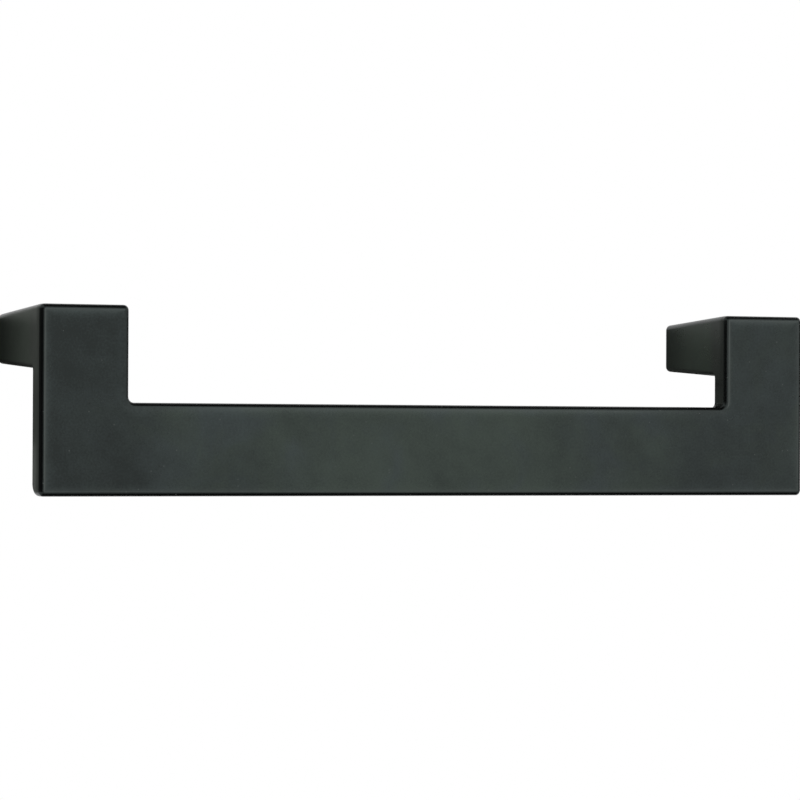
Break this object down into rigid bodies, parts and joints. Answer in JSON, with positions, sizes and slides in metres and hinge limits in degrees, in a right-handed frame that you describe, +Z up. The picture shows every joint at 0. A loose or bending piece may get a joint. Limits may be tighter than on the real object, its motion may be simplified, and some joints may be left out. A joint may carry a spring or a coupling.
{
  "type": "bar pull",
  "caption": "Square-edged bar pull for a drawer or door: a flat U-shaped front plate on legs that run back from the tops of its arms, tapped for screws from behind, in satin black.",
  "frame": {"origin": "midway between the two screw holes, on the drawer front that the feet sit against", "axes": "+X along the bar, to the right as seen from the front; +Y back into the drawer, square to the feet; +Z up, from the bar to the tops of the arms"},
  "size_m": [0.1436, 0.0246, 0.0317],
  "materials": {
    "satin_black": "satin"
  },
  "bodies": {
    "root": {"pull_body": "satin_black"}
  },
  "joints": []
}
